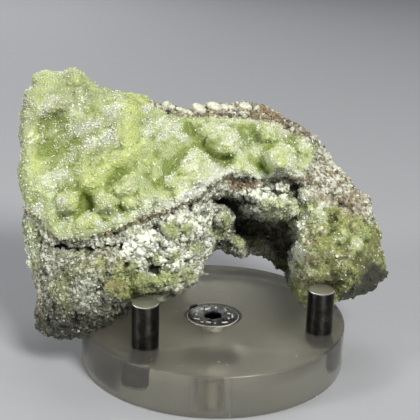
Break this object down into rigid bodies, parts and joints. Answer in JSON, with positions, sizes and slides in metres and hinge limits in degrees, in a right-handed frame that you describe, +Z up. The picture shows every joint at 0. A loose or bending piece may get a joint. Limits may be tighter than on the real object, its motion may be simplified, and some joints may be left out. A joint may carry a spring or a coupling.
{
  "type": "cuprian smithsonite specimen on a display stand",
  "caption": "Arched lump of matrix with a crust of yellow-green smithsonite druse, set on a round satin acrylic disc between upright steel pegs.",
  "frame": {"origin": "centre of the disc's flat underside", "axes": "+Z up, +X along the length of the stone, the green face looks towards -Y"},
  "size_m": [0.0878, 0.0625, 0.0641],
  "materials": {
    "stone": "glittering yellow-green druse over grey-green, white-dusted granular matrix with a brown seam",
    "acrylic": "clear acrylic with satin faces",
    "peg_steel": "ground steel dowel",
    "screw_steel": "bright steel"
  },
  "bodies": {
    "root": {"smithsonite_stone": "stone", "acrylic_disc": "acrylic", "peg_front_left": "peg_steel", "peg_front_right": "peg_steel", "peg_rear": "peg_steel", "centre_screw": "screw_steel"}
  },
  "joints": []
}
